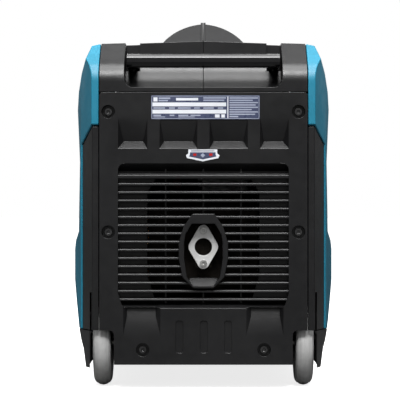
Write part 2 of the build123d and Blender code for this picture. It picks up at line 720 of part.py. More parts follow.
def save_controls():
    save("front_cover", front_cover())
    save("control_panel", control_panel())
    save("display", display())
    save("engine_switch", engine_switch())
    save("start_button", bar("y", 10, 306, 323, START))
    save("eco_switch", eco_switch())
    save("choke_knob", choke_knob())
    save("earth_terminal", earth_terminal())
    save("dc_outlet", bar("y", 13, PANEL_Y, 321, DC_OUTLET) + bar("y", 10, 300, PANEL_Y, DC_OUTLET)
         - bar("y", 7, 306, 330, DC_OUTLET))
    for name, place in zip(("left", "right"), BREAKERS):
        save(f"breaker_button_{name}", bar("y", 6, 304, 322, place))
    save("sockets", *[outlet(*place) for place in OUTLETS])
    for name, place in zip(("left", "right"), OUTLETS):
        save(f"socket_cover_{name}", outlet_cover(*place, 27, 30.5))
    save("socket_main", main_outlet())
    save("socket_cover_main", outlet_cover(*MAIN_OUTLET, 29, 33))


# ---------------------------------------------------------------- fuel system


def fuel_tank():
    """Tank with its filler neck."""
    tank = rounded("z", (0, 110), (300, 280), 470, 568, 30)
    tank = tank - rounded("z", (0, 110), (294, 274), 473, 565, 27)
    neck = bar("z", 30, 566, 612, (0, CAP_Y))
    return tank + neck - bar("z", 25, 500, 620, (0, CAP_Y))


def fuel_cap():
    """Cap over the filler neck, with eight finger flutes."""
    cap = bar("z", 38, CAP_Z, 622, (0, CAP_Y)) + bar("z", 30, 622, 627, (0, CAP_Y))
    for i in range(8):
        turn = math.radians(45 * i)
        cap = cap - bar("z", 6, CAP_Z - 1, 630, (41 * math.cos(turn), CAP_Y + 41 * math.sin(turn)))
    cap = cap - bar("z", 31, CAP_Z - 1, 613, (0, CAP_Y))
    return cap - bar("z", 4 + RUN, 610, 630, (0, CAP_Y))


def vent_knob():
    """Small vent knob in the middle of the cap."""
    return bar("z", 9, 627.4, 638, (0, CAP_Y)) + bar("z", 4, 615, 627.4, (0, CAP_Y))


# ---------------------------------------------------------------- engine and inverter


def engine_block():
    """Crankcase, bored for the crankshaft, with cooling ribs on its top."""
    body = rounded("x", (CRANK_Y - 5, 180), (190, 180), -40, 110, 25)
    body = body - rounded("x", (CRANK_Y - 5, 180), (174, 164), -30, 100, 18)
    return body - bar("x", CRANK_R + RUN, -60, 130, (CRANK_Y, CRANK_Z))


def cylinder_head():
    """Finned cylinder over the crankcase."""
    body = block((-2, 82), (-112, 32), (270, 380))
    for i in range(9):
        z = 276 + i * 11
        body = body + block((-10, 90), (-120, 40), (z, z + 3))
    return body


def spark_plug():
    """Plug with its rubber boot."""
    return bar("z", 7, 380, 400, (40, -40)) + bar("z", 11, 400, 440, (40, -40))


def crankshaft():
    """Crankshaft through the crankcase to the flywheel."""
    return bar("x", CRANK_R, -160, 118, (CRANK_Y, CRANK_Z))


def flywheel():
    """Generator rotor with fan blades on its outer side."""
    place = (CRANK_Y, CRANK_Z)
    body = ring("x", 76, 60, -142, -52, place) + bar("x", 92, -156, -150, place)
    body = body + bar("x", 30, -152, -52, place)
    body = body + bar("x", 76, -150, -142, place)
    for i in range(12):
        blade = block((-172, -155), (CRANK_Y + 45, CRANK_Y + 90), (CRANK_Z - 1.5, CRANK_Z + 1.5))
        body = body + blade.rotate(Axis((0, CRANK_Y, CRANK_Z), (1, 0, 0)), 30 * i)
    return body - bar("x", CRANK_R, -180, -40, place)


def recoil_housing():
    """Housing of the recoil starter, on the crank's line behind the left panel."""
    dish = bar("x", 100, -192, -176, (CRANK_Y, CRANK_Z)) - bar("x", 96, -188, -175, (CRANK_Y, CRANK_Z))
    return dish - block((-195, -170), (50, 70), (250, 320))


def inverter_module():
    """Sealed electronics box with cooling fins."""
    body = block((-160, 0), (130, 270), (60, 200)) - block((-156, -4), (134, 266), (64, 192))
    for i in range(13):
        x = -158 + i * 12.5
        body = body + block((x, x + 3), (132, 268), (200, 230))
    return body + block((-150, -10), (140, 260), (FLOOR_HIGH, 60))


def air_cleaner():
    """Air cleaner box with a clipped lid."""
    box = rounded("z", (110, 115), (100, 70), 300, 428, 10)
    return box + rounded("z", (110, 117), (104, 74), 428, 440, 12)


def save_inside():
    save("fuel_tank", fuel_tank())
    save("fuel_cap", fuel_cap())
    save("vent_knob", vent_knob())
    save("engine_block", engine_block())
    save("cylinder_head", cylinder_head())
    save("spark_plug", spark_plug())
    save("crankshaft", crankshaft())
    save("flywheel", flywheel())
    save("stator", ring("x", 112, 80, -136, -40, (CRANK_Y, CRANK_Z)))
    save("recoil_housing", recoil_housing())
    save("inverter_module", inverter_module())
    save("air_cleaner", air_cleaner())
    save("carburettor", block((66, 106), (40, 80), (305, 345)) + bar("y", 16, 40, 80, (86, 325)))
    save("battery", rounded("z", (98, 235), (110, 90), FLOOR_HIGH, 130, 4))
    mounts = [bar("z", 18, FLOOR_HIGH, 90, (x, y)) for x in (-15, 85) for y in (-95, 40)]
    save("engine_mounts", *mounts)


def save_rear():
    save("rear_cover", rear_cover())
    rear_screws = [socket_screw(x, z, -324) for x, z in REAR_SCREWS]
    front_screws = [mirror(socket_screw(x, z, -326), about=Plane.XZ) for x, z in FRONT_SCREWS]
    save("cover_screws", *rear_screws, *front_screws)
    save("labels", rating_label(), caution_label())
    save("exhaust_surround", exhaust_surround())
    save("exhaust_flange", exhaust_flange())
    save("exhaust_flange_screws", *flange_screws())
    save("muffler", muffler())
    save("spark_arrestor", spark_arrestor())


def save_side_pieces():
    save("service_door", service_door())
    save("service_hinge_pins", *hinge_pins())
    save("door_latch", door_latch())
    save("recoil_bezel", recoil_bezel())
    save("recoil_handle", recoil_handle())


os.makedirs("parts", exist_ok=True)
save_casing()
save_sides()
save_side_pieces()
save_rear()
save("base_tray", base_tray())
save_wheels()
save("front_feet", *front_feet())
save("trolley_grip", trolley_grip())
save("trolley_legs", *trolley_legs())
save("trolley_guides", *trolley_guides())
save_controls()
save_inside()
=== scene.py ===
import json
import math

import bmesh
import bpy
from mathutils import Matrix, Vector


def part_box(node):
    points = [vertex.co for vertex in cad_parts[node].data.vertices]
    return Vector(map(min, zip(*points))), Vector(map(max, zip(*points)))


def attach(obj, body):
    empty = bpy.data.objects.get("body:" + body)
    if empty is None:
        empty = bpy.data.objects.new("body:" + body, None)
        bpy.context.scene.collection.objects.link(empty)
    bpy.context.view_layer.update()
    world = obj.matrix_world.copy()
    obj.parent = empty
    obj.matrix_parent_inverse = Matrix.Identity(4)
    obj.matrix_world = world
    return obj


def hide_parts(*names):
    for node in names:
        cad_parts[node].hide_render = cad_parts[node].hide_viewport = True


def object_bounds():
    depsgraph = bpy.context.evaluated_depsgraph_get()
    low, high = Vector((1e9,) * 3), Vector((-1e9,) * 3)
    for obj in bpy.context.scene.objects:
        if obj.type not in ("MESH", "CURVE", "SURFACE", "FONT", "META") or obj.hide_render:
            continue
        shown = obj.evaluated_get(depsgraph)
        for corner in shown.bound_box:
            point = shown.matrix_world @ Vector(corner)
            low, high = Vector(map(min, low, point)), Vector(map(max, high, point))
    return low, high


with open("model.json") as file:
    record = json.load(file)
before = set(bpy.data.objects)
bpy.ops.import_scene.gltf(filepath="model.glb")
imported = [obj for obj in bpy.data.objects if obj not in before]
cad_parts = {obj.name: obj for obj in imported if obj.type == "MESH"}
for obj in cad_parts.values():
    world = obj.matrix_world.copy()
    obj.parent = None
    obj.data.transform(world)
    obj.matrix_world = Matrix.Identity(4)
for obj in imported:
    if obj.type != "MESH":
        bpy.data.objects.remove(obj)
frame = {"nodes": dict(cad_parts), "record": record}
cad_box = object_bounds()

MM = 0.001

# camera, in metres
REAR = cad_box[0][1]  # rearmost plane of the machine
CAMERA_X = -0.0058
CAMERA_Z = 0.3259
CAMERA_AWAY = 3.2  # from the rearmost plane
LENS = 167.4

# strength of the sky at the horizon, overhead, and what is left of it to the two sides
SKY_LEVEL = 0.3
SKY_TOP = 0.95
SKY_ASIDE = 0.35

# millimetres
TYRE_R = 74.6
TYRE_HALF = 15.7  # half the width of the tread
TREAD_BULGE = 13.0  # fall of the tread from its middle to its shoulders
PLATE_WIDE = 187.0
PLATE_HIGH = 41.0
STICKER_THICK = 0.6
PRINT_SINK = 0.1  # depth to which a printed mark reaches into its panel
PRINT_HIGH = 0.12  # height of a printed mark over its panel
SCREEN_R = 13.6
SCREEN_PITCH = 1.7
SCREEN_WIRE_R = 0.3
SCREEN_SWING = 0.32  # how far each wire waves to pass over and under the others
LID_FACE = 326.6  # outer face of the socket lids
VENT_FOAM_X = 206.0


# ---------------------------------------------------------------- materials


def new_material(name):
    """Material with its node tree and principled shader."""
    made = bpy.data.materials.new(name)
    made.use_nodes = True
    tree = made.node_tree
    shader = tree.nodes["Principled BSDF"]
    return made, tree, shader


def add_node(tree, kind, inputs=None, **settings):
    """One node with its settings and its input values."""
    node = tree.nodes.new(kind)
    for key, value in settings.items():
        setattr(node, key, value)
    for key, value in (inputs or {}).items():
        node.inputs[key].default_value = value
    return node


def noise(tree, scale, detail=4.0, stretch=None):
    """Noise in the object's own coordinates, in repeats per metre."""
    source = add_node(tree, "ShaderNodeTexCoord").outputs["Object"]
    if stretch:
        mapping = add_node(tree, "ShaderNodeMapping", {"Scale": stretch})
        tree.links.new(source, mapping.inputs["Vector"])
        source = mapping.outputs["Vector"]
    texture = add_node(tree, "ShaderNodeTexNoise", {"Scale": scale, "Detail": detail, "Roughness": 0.55})
    tree.links.new(source, texture.inputs["Vector"])
    return texture.outputs["Fac"]


def spread(tree, value, low, high, start=0.35, end=0.65):
    """Map a value between start and end onto a range."""
    limits = {"From Min": start, "From Max": end, "To Min": low, "To Max": high}
    ranger = add_node(tree, "ShaderNodeMapRange", limits)
    tree.links.new(value, ranger.inputs["Value"])
    return ranger.outputs["Result"]


def blend_colour(tree, factor, dark, light):
    """Mix two colours, given as values or as sockets, by a factor."""
    mix = add_node(tree, "ShaderNodeMix", data_type="RGBA")
    tree.links.new(factor, mix.inputs["Factor"])
    for socket, colour in ((mix.inputs[6], dark), (mix.inputs[7], light)):
        if isinstance(colour, tuple):
            socket.default_value = (*colour, 1)
        else:
            tree.links.new(colour, socket)
    return mix.outputs[2]


def wear_and_edge_highlight(tree, colour, rubbed_and_lit, amount):
    """Lighter colour along convex edges, broken up by noise: partly rubbed wear, partly a painted edge
    highlight.
    """
    geometry = add_node(tree, "ShaderNodeNewGeometry")
    edge = spread(tree, geometry.outputs["Pointiness"], 0.0, amount, 0.52, 0.60)
    patchy = spread(tree, noise(tree, 90, 5), 0.2, 1.0)
    both = add_node(tree, "ShaderNodeMath", operation="MULTIPLY")
    tree.links.new(edge, both.inputs[0])
    tree.links.new(patchy, both.inputs[1])
    return blend_colour(tree, both.outputs[0], colour, rubbed_and_lit)


def bump(tree, shader, height, strength, distance):
    """Bump from a height value."""
    node = add_node(tree, "ShaderNodeBump", {"Strength": strength, "Distance": distance})
    tree.links.new(height, node.inputs["Height"])
    tree.links.new(node.outputs["Normal"], shader.inputs["Normal"])


def textured_plastic(name, dark, light, rough=(0.42, 0.55), grain=1500, depth=0.3, specular=0.5):
    """Moulded plastic with a spark-eroded grain, faint colour drift, and edges lightened by rubbing and by a
    painted highlight.
    """
    made, tree, shader = new_material(name)
    colour = blend_colour(tree, spread(tree, noise(tree, 9), 0, 1), dark, light)
    # painted highlight along convex edges, together with the lighter wear of rubbed edges
    colour = wear_and_edge_highlight(tree, colour, tuple(min(1, 1.8 * c + 0.004) for c in light), 0.3)
    tree.links.new(colour, shader.inputs["Base Color"])
    tree.links.new(spread(tree, noise(tree, 60), *rough), shader.inputs["Roughness"])
    shader.inputs["Specular IOR Level"].default_value = specular
    bump(tree, shader, noise(tree, grain, 2.0), depth, 0.0004)
    return made


def gloss(name, dark, light, rough=(0.08, 0.16), coat=0.0):
    """Smooth glossy plastic or paint with faint handling marks."""
    made, tree, shader = new_material(name)
    colour = blend_colour(tree, spread(tree, noise(tree, 14), 0, 1), dark, light)
    tree.links.new(colour, shader.inputs["Base Color"])
    tree.links.new(spread(tree, noise(tree, 160, 6), *rough), shader.inputs["Roughness"])
    shader.inputs["Coat Weight"].default_value = coat
    shader.inputs["Coat Roughness"].default_value = 0.08
    bump(tree, shader, noise(tree, 220, 3.0), 0.05, 0.0003)
    return made


def metal(name, dark, light, rough=(0.25, 0.45), brushed=None, depth=0.12, metallic=1.0):
    """Bare or plated metal with tool marks, cast grain or brushing."""
    made, tree, shader = new_material(name)
    colour = blend_colour(tree, spread(tree, noise(tree, 35, 6), 0, 1), dark, light)
    # painted highlight along convex edges, together with the lighter wear of rubbed edges
    colour = wear_and_edge_highlight(tree, colour, tuple(min(1, 1.25 * c) for c in light), 0.6)
    tree.links.new(colour, shader.inputs["Base Color"])
    shader.inputs["Metallic"].default_value = metallic
    tree.links.new(spread(tree, noise(tree, 120, 6), *rough), shader.inputs["Roughness"])
    bump(tree, shader, noise(tree, 700, 3.0, brushed), depth, 0.0004)
    return made


def rubber(name, dark, light, rough=(0.6, 0.8), grain=900):
    """Rubber or soft tyre compound, slightly dusty."""
    made, tree, shader = new_material(name)
    colour = blend_colour(tree, spread(tree, noise(tree, 45, 6), 0, 1), dark, light)
    tree.links.new(colour, shader.inputs["Base Color"])
    tree.links.new(spread(tree, noise(tree, 70), *rough), shader.inputs["Roughness"])
    bump(tree, shader, noise(tree, grain, 3.0), 0.25, 0.0004)
    return made


def make_materials():
    """Every material by its name: one per slot of the record, and those of the added pieces."""
    made = {}

    def add(kind, name, dark, light, **look):
        made[name] = kind(name, dark, light, **look)

    add(textured_plastic, "black_plastic", (0.0055, 0.0055, 0.006), (0.010, 0.010, 0.0105),
        rough=(0.28, 0.34), specular=0.45)
    add(textured_plastic, "teal_plastic", (0.013, 0.165, 0.250), (0.018, 0.195, 0.300),
        rough=(0.34, 0.44), grain=900, depth=0.1, specular=0.35)
    add(textured_plastic, "dark_panel", (0.040, 0.041, 0.045), (0.055, 0.056, 0.060))
    add(textured_plastic, "tank_plastic", (0.02, 0.02, 0.02), (0.035, 0.035, 0.035))
    add(textured_plastic, "blue_cover", (0.012, 0.060, 0.260), (0.018, 0.080, 0.320), rough=(0.25, 0.38))
    add(textured_plastic, "grey_cover", (0.11, 0.115, 0.12), (0.15, 0.155, 0.16), rough=(0.3, 0.42))

    add(rubber, "tyre_grey", (0.46, 0.46, 0.455), (0.57, 0.57, 0.565))
    add(rubber, "foot_rubber", (0.012, 0.012, 0.012), (0.022, 0.022, 0.022))
    add(rubber, "foam", (0.004, 0.004, 0.004), (0.008, 0.008, 0.008), rough=(0.9, 1.0), grain=350)

    add(gloss, "gloss_black", (0.003, 0.003, 0.0035), (0.006, 0.006, 0.0065), rough=(0.05, 0.1))
    add(gloss, "black_tube", (0.008, 0.008, 0.009), (0.014, 0.014, 0.015), coat=0.4)
    add(gloss, "red_plastic", (0.36, 0.012, 0.010), (0.46, 0.018, 0.014), rough=(0.18, 0.28))
    add(gloss, "glass", (0.006, 0.008, 0.008), (0.010, 0.013, 0.013), rough=(0.04, 0.08), coat=0.6)
    add(gloss, "digits", (0.30, 0.62, 0.60), (0.36, 0.70, 0.68), rough=(0.3, 0.4))
    add(gloss, "label", (0.045, 0.055, 0.105), (0.055, 0.065, 0.12), rough=(0.25, 0.35))
    add(gloss, "label_white", (0.66, 0.68, 0.72), (0.74, 0.76, 0.80), rough=(0.3, 0.4))
    add(gloss, "label_pale", (0.30, 0.33, 0.42), (0.36, 0.39, 0.48), rough=(0.3, 0.4))

    add(metal, "steel_zinc", (0.50, 0.50, 0.49), (0.66, 0.66, 0.64))
    add(metal, "screw_black", (0.07, 0.07, 0.072), (0.12, 0.12, 0.12), rough=(0.28, 0.4))
    add(metal, "flange_alloy", (0.74, 0.74, 0.73), (0.88, 0.88, 0.87), rough=(0.42, 0.55), metallic=0.55)
    # painted shade: the muffler steel is made near black, darker than its bare metal, so that the muffler
    # seen past the outlet reads as the shade deep in the exhaust pocket
    add(metal, "muffler_steel", (0.012, 0.011, 0.010), (0.030, 0.026, 0.022), rough=(0.5, 0.65))
    add(metal, "cast_alloy", (0.34, 0.34, 0.35), (0.46, 0.46, 0.46), rough=(0.45, 0.6), depth=0.4)
    add(metal, "engine_iron", (0.08, 0.08, 0.085), (0.15, 0.15, 0.15), rough=(0.5, 0.65), depth=0.4)
    add(metal, "copper_winding", (0.40, 0.17, 0.07), (0.60, 0.28, 0.12), brushed=(1, 12, 12))
    add(metal, "brass", (0.55, 0.38, 0.14), (0.72, 0.52, 0.22))
    return made


# ---------------------------------------------------------------- meshes


body_of = {node: body for body, nodes in frame["record"]["behaviour"]["bodies"].items() for node in nodes}
slot_of = {part["node"]: part["material_slot"] for part in frame["record"]["subparts"]}


def middle(node):
    """Middle of a CAD node's box, in metres."""
    low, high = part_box(node)
    return Vector([(a + b) / 2 for a, b in zip(low, high)])


def place(mesh_data, name, slot, body):
    """Object of the visual model, in one material, riding on a body."""
    piece = bpy.data.objects.new(name, mesh_data)
    bpy.context.collection.objects.link(piece)
    piece.data.materials.append(materials[slot])
    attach(piece, body)
    return piece


def to_mesh(work, name, smooth=True):
    """Finished mesh from a bmesh."""
    bmesh.ops.recalc_face_normals(work, faces=work.faces)
    made = bpy.data.meshes.new(name)
    work.to_mesh(made)
    work.free()
    made.polygons.foreach_set("use_smooth", [smooth] * len(made.polygons))
    return made


def soften(piece, width, segments=2):
    """Rounded edges, of a width in mm, and clean shading on a moulded or machined piece."""
    rounder = piece.modifiers.new("edges", "BEVEL")
    rounder.width = width * MM
    rounder.segments = segments
    rounder.limit_method = "ANGLE"
    rounder.angle_limit = math.radians(28)
    rounder.use_clamp_overlap = False
    normals = piece.modifiers.new("normals", "WEIGHTED_NORMAL")
    normals.keep_sharp = True


def refined(node, width):
    """Copy of a CAD node with its flat faces merged and its edges rounded, which stands for it."""
    work = bmesh.new()
    work.from_mesh(frame["nodes"][node].data)
    bmesh.ops.remove_doubles(work, verts=work.verts, dist=1e-5)
    bmesh.ops.dissolve_limit(work, angle_limit=math.radians(1), verts=work.verts, edges=work.edges)
    made = to_mesh(work, f"{node}_moulding")
    if "custom_normal" in made.attributes:
        made.attributes.remove(made.attributes["custom_normal"])
    made.materials.clear()
    piece = place(made, f"{node}_moulding", slot_of[node], body_of[node])
    soften(piece, width)
    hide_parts(node)


def lathe(profile, axis, centre, steps):
    """Closed ring of revolution; the profile is a loop of (along the axis, radius) in mm."""
    work = bmesh.new()
    across = {"x": (1, 2), "y": (2, 0), "z": (0, 1)}[axis]
    along = "xyz".index(axis)
    rings = []
    for step in range(steps):
        turn = 2 * math.pi * step / steps
        ring = []
        for offset, radius in profile:
            point = [0.0, 0.0, 0.0]
            point[along] = offset * MM
            point[across[0]] = radius * MM * math.cos(turn)
            point[across[1]] = radius * MM * math.sin(turn)
            ring.append(work.verts.new(Vector(point) + Vector(centre)))
        rings.append(ring)
    count = len(profile)
    for step in range(steps):
        here, ahead = rings[step], rings[(step + 1) % steps]
        for i in range(count):
            j = (i + 1) % count
            work.faces.new((here[i], here[j], ahead[j], ahead[i]))
    bmesh.ops.remove_doubles(work, verts=work.verts, dist=1e-6)
    return work


def slab(work, x, y, z, tone=0):
    """Small box from (low, high) pairs in mm, with its material's index."""
    corners = [Vector((a, b, c)) * MM for a in x for b in y for c in z]
    verts = [work.verts.new(corner) for corner in corners]
    for loop in ((0, 1, 3, 2), (4, 6, 7, 5), (0, 4, 5, 1), (2, 3, 7, 6), (0, 2, 6, 4), (1, 5, 7, 3)):
        face = work.faces.new([verts[i] for i in loop])
        face.material_index = tone


def outline_slab(work, points, y, tone):
    """Flat closed shape from an outline in X and Z and a (low, high) pair in Y, in mm."""
    near = [work.verts.new(Vector((a, y[0], b)) * MM) for a, b in points]
    far = [work.verts.new(Vector((a, y[1], b)) * MM) for a, b in points]
    count = len(points)
    faces = [work.faces.new(near), work.faces.new(list(reversed(far)))]
    for i in range(count):
        j = (i + 1) % count
        faces.append(work.faces.new((near[i], far[i], far[j], near[j])))
    for face in faces:
        face.material_index = tone


def wire(work, points, radius):
    """Thin six-sided wire through points, in metres."""
    sides = 6
    turns = [2 * math.pi * k / sides for k in range(sides)]
    rings = []
    for i, point in enumerate(points):
        way = (points[min(i + 1, len(points) - 1)] - points[max(i - 1, 0)]).normalized()
        side = way.orthogonal().normalized()
        up = way.cross(side)
        around = [point + radius * (math.cos(turn) * side + math.sin(turn) * up) for turn in turns]
        rings.append([work.verts.new(spot) for spot in around])
    for here, ahead in zip(rings, rings[1:]):
        for k in range(sides):
            m = (k + 1) % sides
            work.faces.new((here[k], here[m], ahead[m], ahead[k]))
    work.faces.new(list(reversed(rings[0])))
    work.faces.new(rings[-1])


# ---------------------------------------------------------------- CAD nodes


def dress_cad_nodes():
    """Procedural materials on every CAD node."""
    for name, piece in frame["nodes"].items():
        for index in range(len(piece.material_slots)):
            piece.material_slots[index].material = materials[slot_of[name]]


# ---------------------------------------------------------------- mouldings


# width of each stand-in's rounded edges, in mm; wider ones would fold over on the narrow faces
EDGE = {
    "casing_left": 0.5, "casing_right": 0.5, "side_panel_left": 1.6, "side_panel_right": 1.6,
    "corner_inserts_rear": 1.2, "corner_inserts_front": 1.2, "rear_cover": 0.45, "front_cover": 0.7,
    "exhaust_surround": 0.9, "exhaust_flange": 0.7, "exhaust_flange_screws": 0.4,
    "trolley_guides": 0.8, "hub_left": 1.2, "hub_right": 1.2, "service_door": 1.0,
    "door_latch": 0.7, "recoil_bezel": 1.2, "recoil_handle": 1.2, "fuel_cap": 1.5, "vent_knob": 1.0,
    "control_panel": 0.5, "engine_switch": 0.5, "start_button": 0.8, "eco_switch": 0.7, "choke_knob": 1.5,
    "breaker_button_left": 0.7, "breaker_button_right": 0.7, "dc_outlet": 0.6, "sockets": 0.6,
    "socket_main": 0.5, "socket_cover_left": 0.9, "socket_cover_right": 0.9, "socket_cover_main": 0.9,
    "front_feet": 2.0, "cover_screws": 0.5, "earth_terminal": 0.4, "axle": 0.8, "display": 0.8,
}


def make_mouldings():
    """Rounded stand-ins of the pieces whose edges catch the light."""
    for node, width in EDGE.items():
        refined(node, width)


# ---------------------------------------------------------------- wheels


def tyre_profile():
    """Half-round tread with a moulding seam and two shoulder lines, then side walls and bead."""
    points = []
    for degrees in range(-90, 91, 6):
        turn = math.radians(degrees)
        points.append([TYRE_HALF * math.sin(turn), TYRE_R - TREAD_BULGE + TREAD_BULGE * math.cos(turn)])
    for point in points:
        if 8.5 < abs(point[0]) < 9.6:
            point[1] -= 0.9
    seam = [[-0.9, TYRE_R], [-0.4, 75.0], [0.4, 75.0], [0.9, TYRE_R]]
    half = len(points) // 2
    tread = points[:half] + seam + points[half + 1:]
    wall = [[15.9, 59.5], [15.2, 57.6], [15.7, 56.0], [14.6, 53.4], [12.5, 52.05]]
    return tread + wall + [[-a, b] for a, b in reversed(wall)]


def make_tyres():
    """Tyres of grey compound."""
    for side in ("left", "right"):
        node = f"tyre_{side}"
        mesh = to_mesh(lathe(tyre_profile(), "x", middle(node), 96), f"{node}_round")
        piece = place(mesh, f"{node}_round", "tyre_grey", body_of[node])
        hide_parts(node)


# ---------------------------------------------------------------- labels


NAVY, WHITE, PALE, RED = range(4)  # material indices of the labels


def label_marks():
    """Generic bands and short bars of the rating plate: (left, top, width, height, tone) in mm."""
    marks = [(43, 4.4, 38, 4.4, WHITE), (90, 3.2, 39, 2.2, PALE), (90, 7.2, 36, 2.2, PALE)]
    marks += [(4, 3.4, 7, 7, WHITE), (13, 3.6, 20, 2.6, PALE), (13, 7.8, 16, 2.2, PALE)]
    marks += [(2.2, 12.2, 127, 6.6, WHITE), (2.2, 24.6, 127, 6.6, WHITE)]
    marks += [(x, 20.6, w, 2.2, PALE) for x, w in ((4, 20), (31, 10), (46, 22), (74, 10), (90, 18), (115, 9))]
    marks += [(x, 33.2, w, 2.2, PALE) for x, w in ((4, 13), (32, 8), (47, 17), (68, 12), (80, 5))]
    marks += [(x, 36.4, w, 1.4, PALE) for x, w in ((4, 20), (47, 28))]
    marks += [(110, 32.6, 8, 5.6, WHITE), (121, 32.6, 6, 5.6, WHITE), (131.4, 2, 1.6, 37, WHITE)]
    for row, wide in enumerate((49, 40, 49, 45, 49, 38, 49, 44, 15)):
        marks.append((135, 3.4 + 4.0 * row, wide, 2.1, PALE))
    border = [(0.7, 0.7, 185.6, 0.9, PALE), (0.7, 39.4, 185.6, 0.9, PALE)]
    return marks + border + [(0.7, 0.7, 0.9, 39.6, PALE), (185.4, 0.7, 0.9, 39.6, PALE)]


def make_labels():
    """Rating plate and shield sticker with generic marking only."""
    low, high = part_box("labels")
    left, top, face, foot = low[0] / MM, high[2] / MM, low[1] / MM, low[2] / MM
    back = face + STICKER_THICK
    work = bmesh.new()
    slab(work, (left, left + PLATE_WIDE), (face, back), (top - PLATE_HIGH, top), NAVY)
    for x, z, wide, tall, tone in label_marks():
        slab(work, (left + x, left + x + wide), (face - 0.1, face + 0.1), (top - z - tall, top - z), tone)
    shield = [(-26, 20.5), (24, 20.5), (24, 13.5), (28, 10.5), (26, 5.5)]
    shield += [(-1, 0), (-28, 5.5), (-30, 10.5), (-26, 13.5)]
    inner = [(-23, 15.6), (21, 15.6), (21, 11.4), (22.5, 8.4), (-1, 3.4), (-24.5, 8.4), (-23, 11.4)]
    outline_slab(work, [(x, z + foot) for x, z in shield], (face + 0.1, back), WHITE)
    outline_slab(work, [(x, z + foot) for x, z in inner], (face - 0.05, face + 0.2), NAVY)
    slab(work, (-21, 19), (face, face + 0.2), (foot + 17.2, foot + 18.6), NAVY)
    for x in (-17.5, 10):
        slab(work, (x, x + 5.5), (face - 0.15, face + 0.2), (foot + 9.4, foot + 13.6), RED)
    diamond = [(-1, 14.2), (3, 10.4), (-1, 6.6), (-5, 10.4)]
    outline_slab(work, [(x, z + foot) for x, z in diamond], (face - 0.15, face + 0.2), PALE)
    piece = place(to_mesh(work, "marking", smooth=False), "marking", "label", "chassis")
    for tone in ("label_white", "label_pale", "red_plastic"):
        piece.data.materials.append(materials[tone])
    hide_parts("labels")


# ---------------------------------------------------------------- exhaust


def make_screen():
    """Woven wire screen inside the outlet."""
    centre = middle("exhaust_flange")
    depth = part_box("exhaust_flange")[1][1] + 1.5 * MM
    reach, pitch = SCREEN_R * MM, SCREEN_PITCH * MM
    work = bmesh.new()
    count = int(reach / pitch)
    for i in range(-count, count + 1):
        offset = i * pitch
        half = math.sqrt(max(0.0, reach ** 2 - offset ** 2))
        steps = max(4, int(2 * half / (pitch / 2)))
        upright, level = [], []
        for k in range(steps + 1):
            run = -half + 2 * half * k / steps
            wave = (1 if i % 2 else -1) * SCREEN_SWING * MM * math.cos(math.pi * run / pitch)
            level.append(Vector((centre.x + run, depth + wave, centre.z + offset)))
            upright.append(Vector((centre.x + offset, depth - wave, centre.z + run)))
        wire(work, level, SCREEN_WIRE_R * MM)
        wire(work, upright, SCREEN_WIRE_R * MM)
    place(to_mesh(work, "outlet_screen"), "outlet_screen", "muffler_steel", "chassis")


# ---------------------------------------------------------------- control end


def ring_round(name, node, axis, face, sizes, slot):
    """Raised ring on a piece: sizes are its outer and inner radius, height and sink in mm."""
    outer, inner, tall, sink = sizes
    centre = middle(node)
    centre["xyz".index(axis)] = face
    ease = min(0.4, tall / 3)
    profile = [(-sink, inner), (-sink, outer), (tall - ease, outer)]
    profile += [(tall, outer - ease), (tall, inner + ease), (tall - ease, inner)]
    place(to_mesh(lathe(profile, axis, centre, 56), name), name, slot, body_of[node])


def seven_segments(work, text, left, top, face, high):
    """Figures of a meter as bars on a face that looks along +Y; left is seen from the front."""
    wide, bar = 0.52 * high, 0.13 * high
    gap = 0.15  # left free round each bar
    lit = (face, face + 0.25)
    strokes = {"a": (0, 0, wide, bar), "g": (0, high / 2 - bar / 2, wide, bar),
               "d": (0, high - bar, wide, bar), "f": (0, 0, bar, high / 2), "e": (0, high / 2, bar, high / 2),
               "b": (wide - bar, 0, bar, high / 2), "c": (wide - bar, high / 2, bar, high / 2)}
    figures = {"0": "abcdef", "1": "bc", "2": "abged", "3": "abgcd", "5": "afgcd"}
    for figure in text:
        if figure == ".":
            slab(work, (left - 0.3 * bar, left + 0.7 * bar), lit, (top - high, top - high + bar))
            left -= 1.2 * bar
            continue
        for key in figures[figure]:
            over, down, across, tall = strokes[key]
            x, z = left - over, top - down
            slab(work, (x - across + gap, x - gap), lit, (z - tall + gap, z - gap))
        left -= wide + 1.6 * bar


def make_display():
    """Meter window with three lit readings over a row of ten bars."""
    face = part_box("display")[1][1] / MM
    centre = middle("display") / MM
    work = bmesh.new()
    slab(work, (centre.x - 29, centre.x + 29), (face - 0.6, face + 0.3), (centre.z - 17, centre.z + 17))
    window = place(to_mesh(work, "meter_window", False), "meter_window", "glass", "chassis")
    soften(window, 0.25)
    work = bmesh.new()
    seven_segments(work, "230", centre.x + 25, centre.z + 14, face + 0.3, 15)
    seven_segments(work, "50.0", centre.x - 1, centre.z + 14, face + 0.3, 9)
    seven_segments(work, "12.5", centre.x - 1, centre.z + 0.5, face + 0.3, 9)
    for k in range(10):
        left = centre.x + 25 - 4.8 * k
        slab(work, (left - 3, left), (face, face + 0.45), (centre.z - 14, centre.z - 11))
    place(to_mesh(work, "meter_digits", False), "meter_digits", "digits", "chassis")


def frame_lines(work, x, z, y):
    """Printed outline around a group of controls."""
    wide = 0.9
    slab(work, (x[0], x[1]), y, (z[0], z[0] + wide))
    slab(work, (x[0], x[1]), y, (z[1] - wide, z[1]))
    slab(work, (x[0], x[0] + wide), y, (z[0] + wide, z[1] - wide))
    slab(work, (x[1] - wide, x[1]), y, (z[0] + wide, z[1] - wide))


